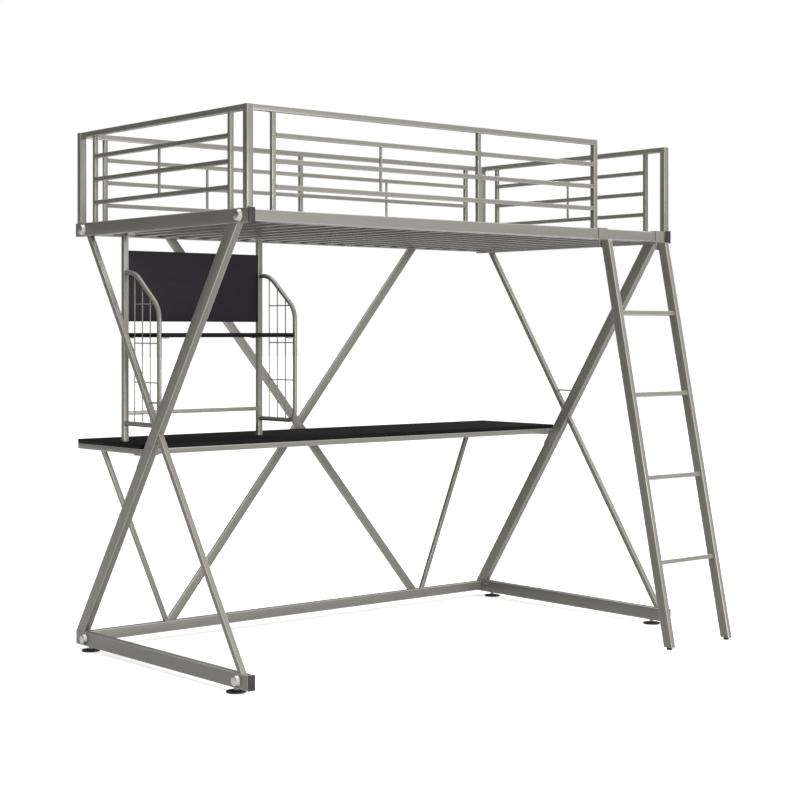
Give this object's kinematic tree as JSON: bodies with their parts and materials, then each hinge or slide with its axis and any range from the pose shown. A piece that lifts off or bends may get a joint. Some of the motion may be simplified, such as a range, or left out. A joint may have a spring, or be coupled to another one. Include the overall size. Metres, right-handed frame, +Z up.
{
  "type": "loft bed with desk",
  "caption": "Metal-tube loft bed with guards all round, crossed end legs, a full-length desk with a small hutch beneath and a hook-on ladder.",
  "frame": {"origin": "on the floor, at the centre of the footprint", "axes": "+X along the bed from the hutch end to the ladder end, +Y from the ladder side to the back, +Z up"},
  "size_m": [2.002, 1.4048, 1.83],
  "materials": {
    "powder_coat": "satin silver-grey powder coat on steel tube",
    "laminate": "black laminate on particle board",
    "board": "charcoal laminate",
    "plug_plastic": "moulded black plastic",
    "foot_plastic": "moulded black plastic",
    "rubber": "black rubber",
    "chrome": "chromed steel cap"
  },
  "bodies": {
    "bed": {"back_base_rail": "powder_coat", "back_brace_long": "powder_coat", "back_brace_lower": "powder_coat", "back_brace_upper": "powder_coat", "back_guard": "powder_coat", "back_side_rail": "powder_coat", "desk_frame": "powder_coat", "desk_top": "laminate", "front_guard": "powder_coat", "front_side_rail": "powder_coat", "hutch_board": "board", "hutch_crossbar": "powder_coat", "hutch_shelf": "laminate", "left_back_bolt_cap": "chrome", "left_back_plug": "plug_plastic", "left_base_back_bolt_cap": "chrome", "left_base_front_bolt_cap": "chrome", "left_base_plug": "plug_plastic", "left_base_rail": "powder_coat", "left_desk_strut": "powder_coat", "left_end_rail": "powder_coat", "left_front_bolt_cap": "chrome", "left_front_plug": "plug_plastic", "left_guard": "powder_coat", "left_hutch_upright": "powder_coat", "left_leg": "powder_coat", "left_lower_brace": "powder_coat", "left_rack": "powder_coat", "left_upper_brace": "powder_coat", "right_back_bolt_cap": "chrome", "right_back_plug": "plug_plastic", "right_base_back_bolt_cap": "chrome", "right_base_front_bolt_cap": "chrome", "right_base_plug": "plug_plastic", "right_base_rail": "powder_coat", "right_desk_strut": "powder_coat", "right_end_rail": "powder_coat", "right_front_bolt_cap": "chrome", "right_front_plug": "plug_plastic", "right_guard": "powder_coat", "right_hutch_upright": "powder_coat", "right_leg": "powder_coat", "right_lower_brace": "powder_coat", "right_rack": "powder_coat", "right_upper_brace": "powder_coat", "slat_deck": "powder_coat"},
    "ladder": {"ladder_inner_foot": "rubber", "ladder_inner_hook": "powder_coat", "ladder_inner_stile": "powder_coat", "ladder_outer_foot": "rubber", "ladder_outer_hook": "powder_coat", "ladder_outer_stile": "powder_coat", "ladder_rung_1": "powder_coat", "ladder_rung_2": "powder_coat", "ladder_rung_3": "powder_coat", "ladder_rung_4": "powder_coat"},
    "left_back_levelling_foot_body": {"left_back_levelling_foot": "foot_plastic"},
    "left_front_levelling_foot_body": {"left_front_levelling_foot": "foot_plastic"},
    "right_back_levelling_foot_body": {"right_back_levelling_foot": "foot_plastic"},
    "right_front_levelling_foot_body": {"right_front_levelling_foot": "foot_plastic"}
  },
  "joints": [
    {"name": "ladder_lift", "type": "slide", "parent": "bed", "child": "ladder", "axis": [0, 0, 1], "range_m": [0, 0.05]},
    {"name": "left_back_foot_height", "type": "slide", "parent": "bed", "child": "left_back_levelling_foot_body", "axis": [0, 0, 1], "range_m": [-0.01, 0]},
    {"name": "left_front_foot_height", "type": "slide", "parent": "bed", "child": "left_front_levelling_foot_body", "axis": [0, 0, 1], "range_m": [-0.01, 0]},
    {"name": "right_back_foot_height", "type": "slide", "parent": "bed", "child": "right_back_levelling_foot_body", "axis": [0, 0, 1], "range_m": [-0.01, 0]},
    {"name": "right_front_foot_height", "type": "slide", "parent": "bed", "child": "right_front_levelling_foot_body", "axis": [0, 0, 1], "range_m": [-0.01, 0]}
  ]
}
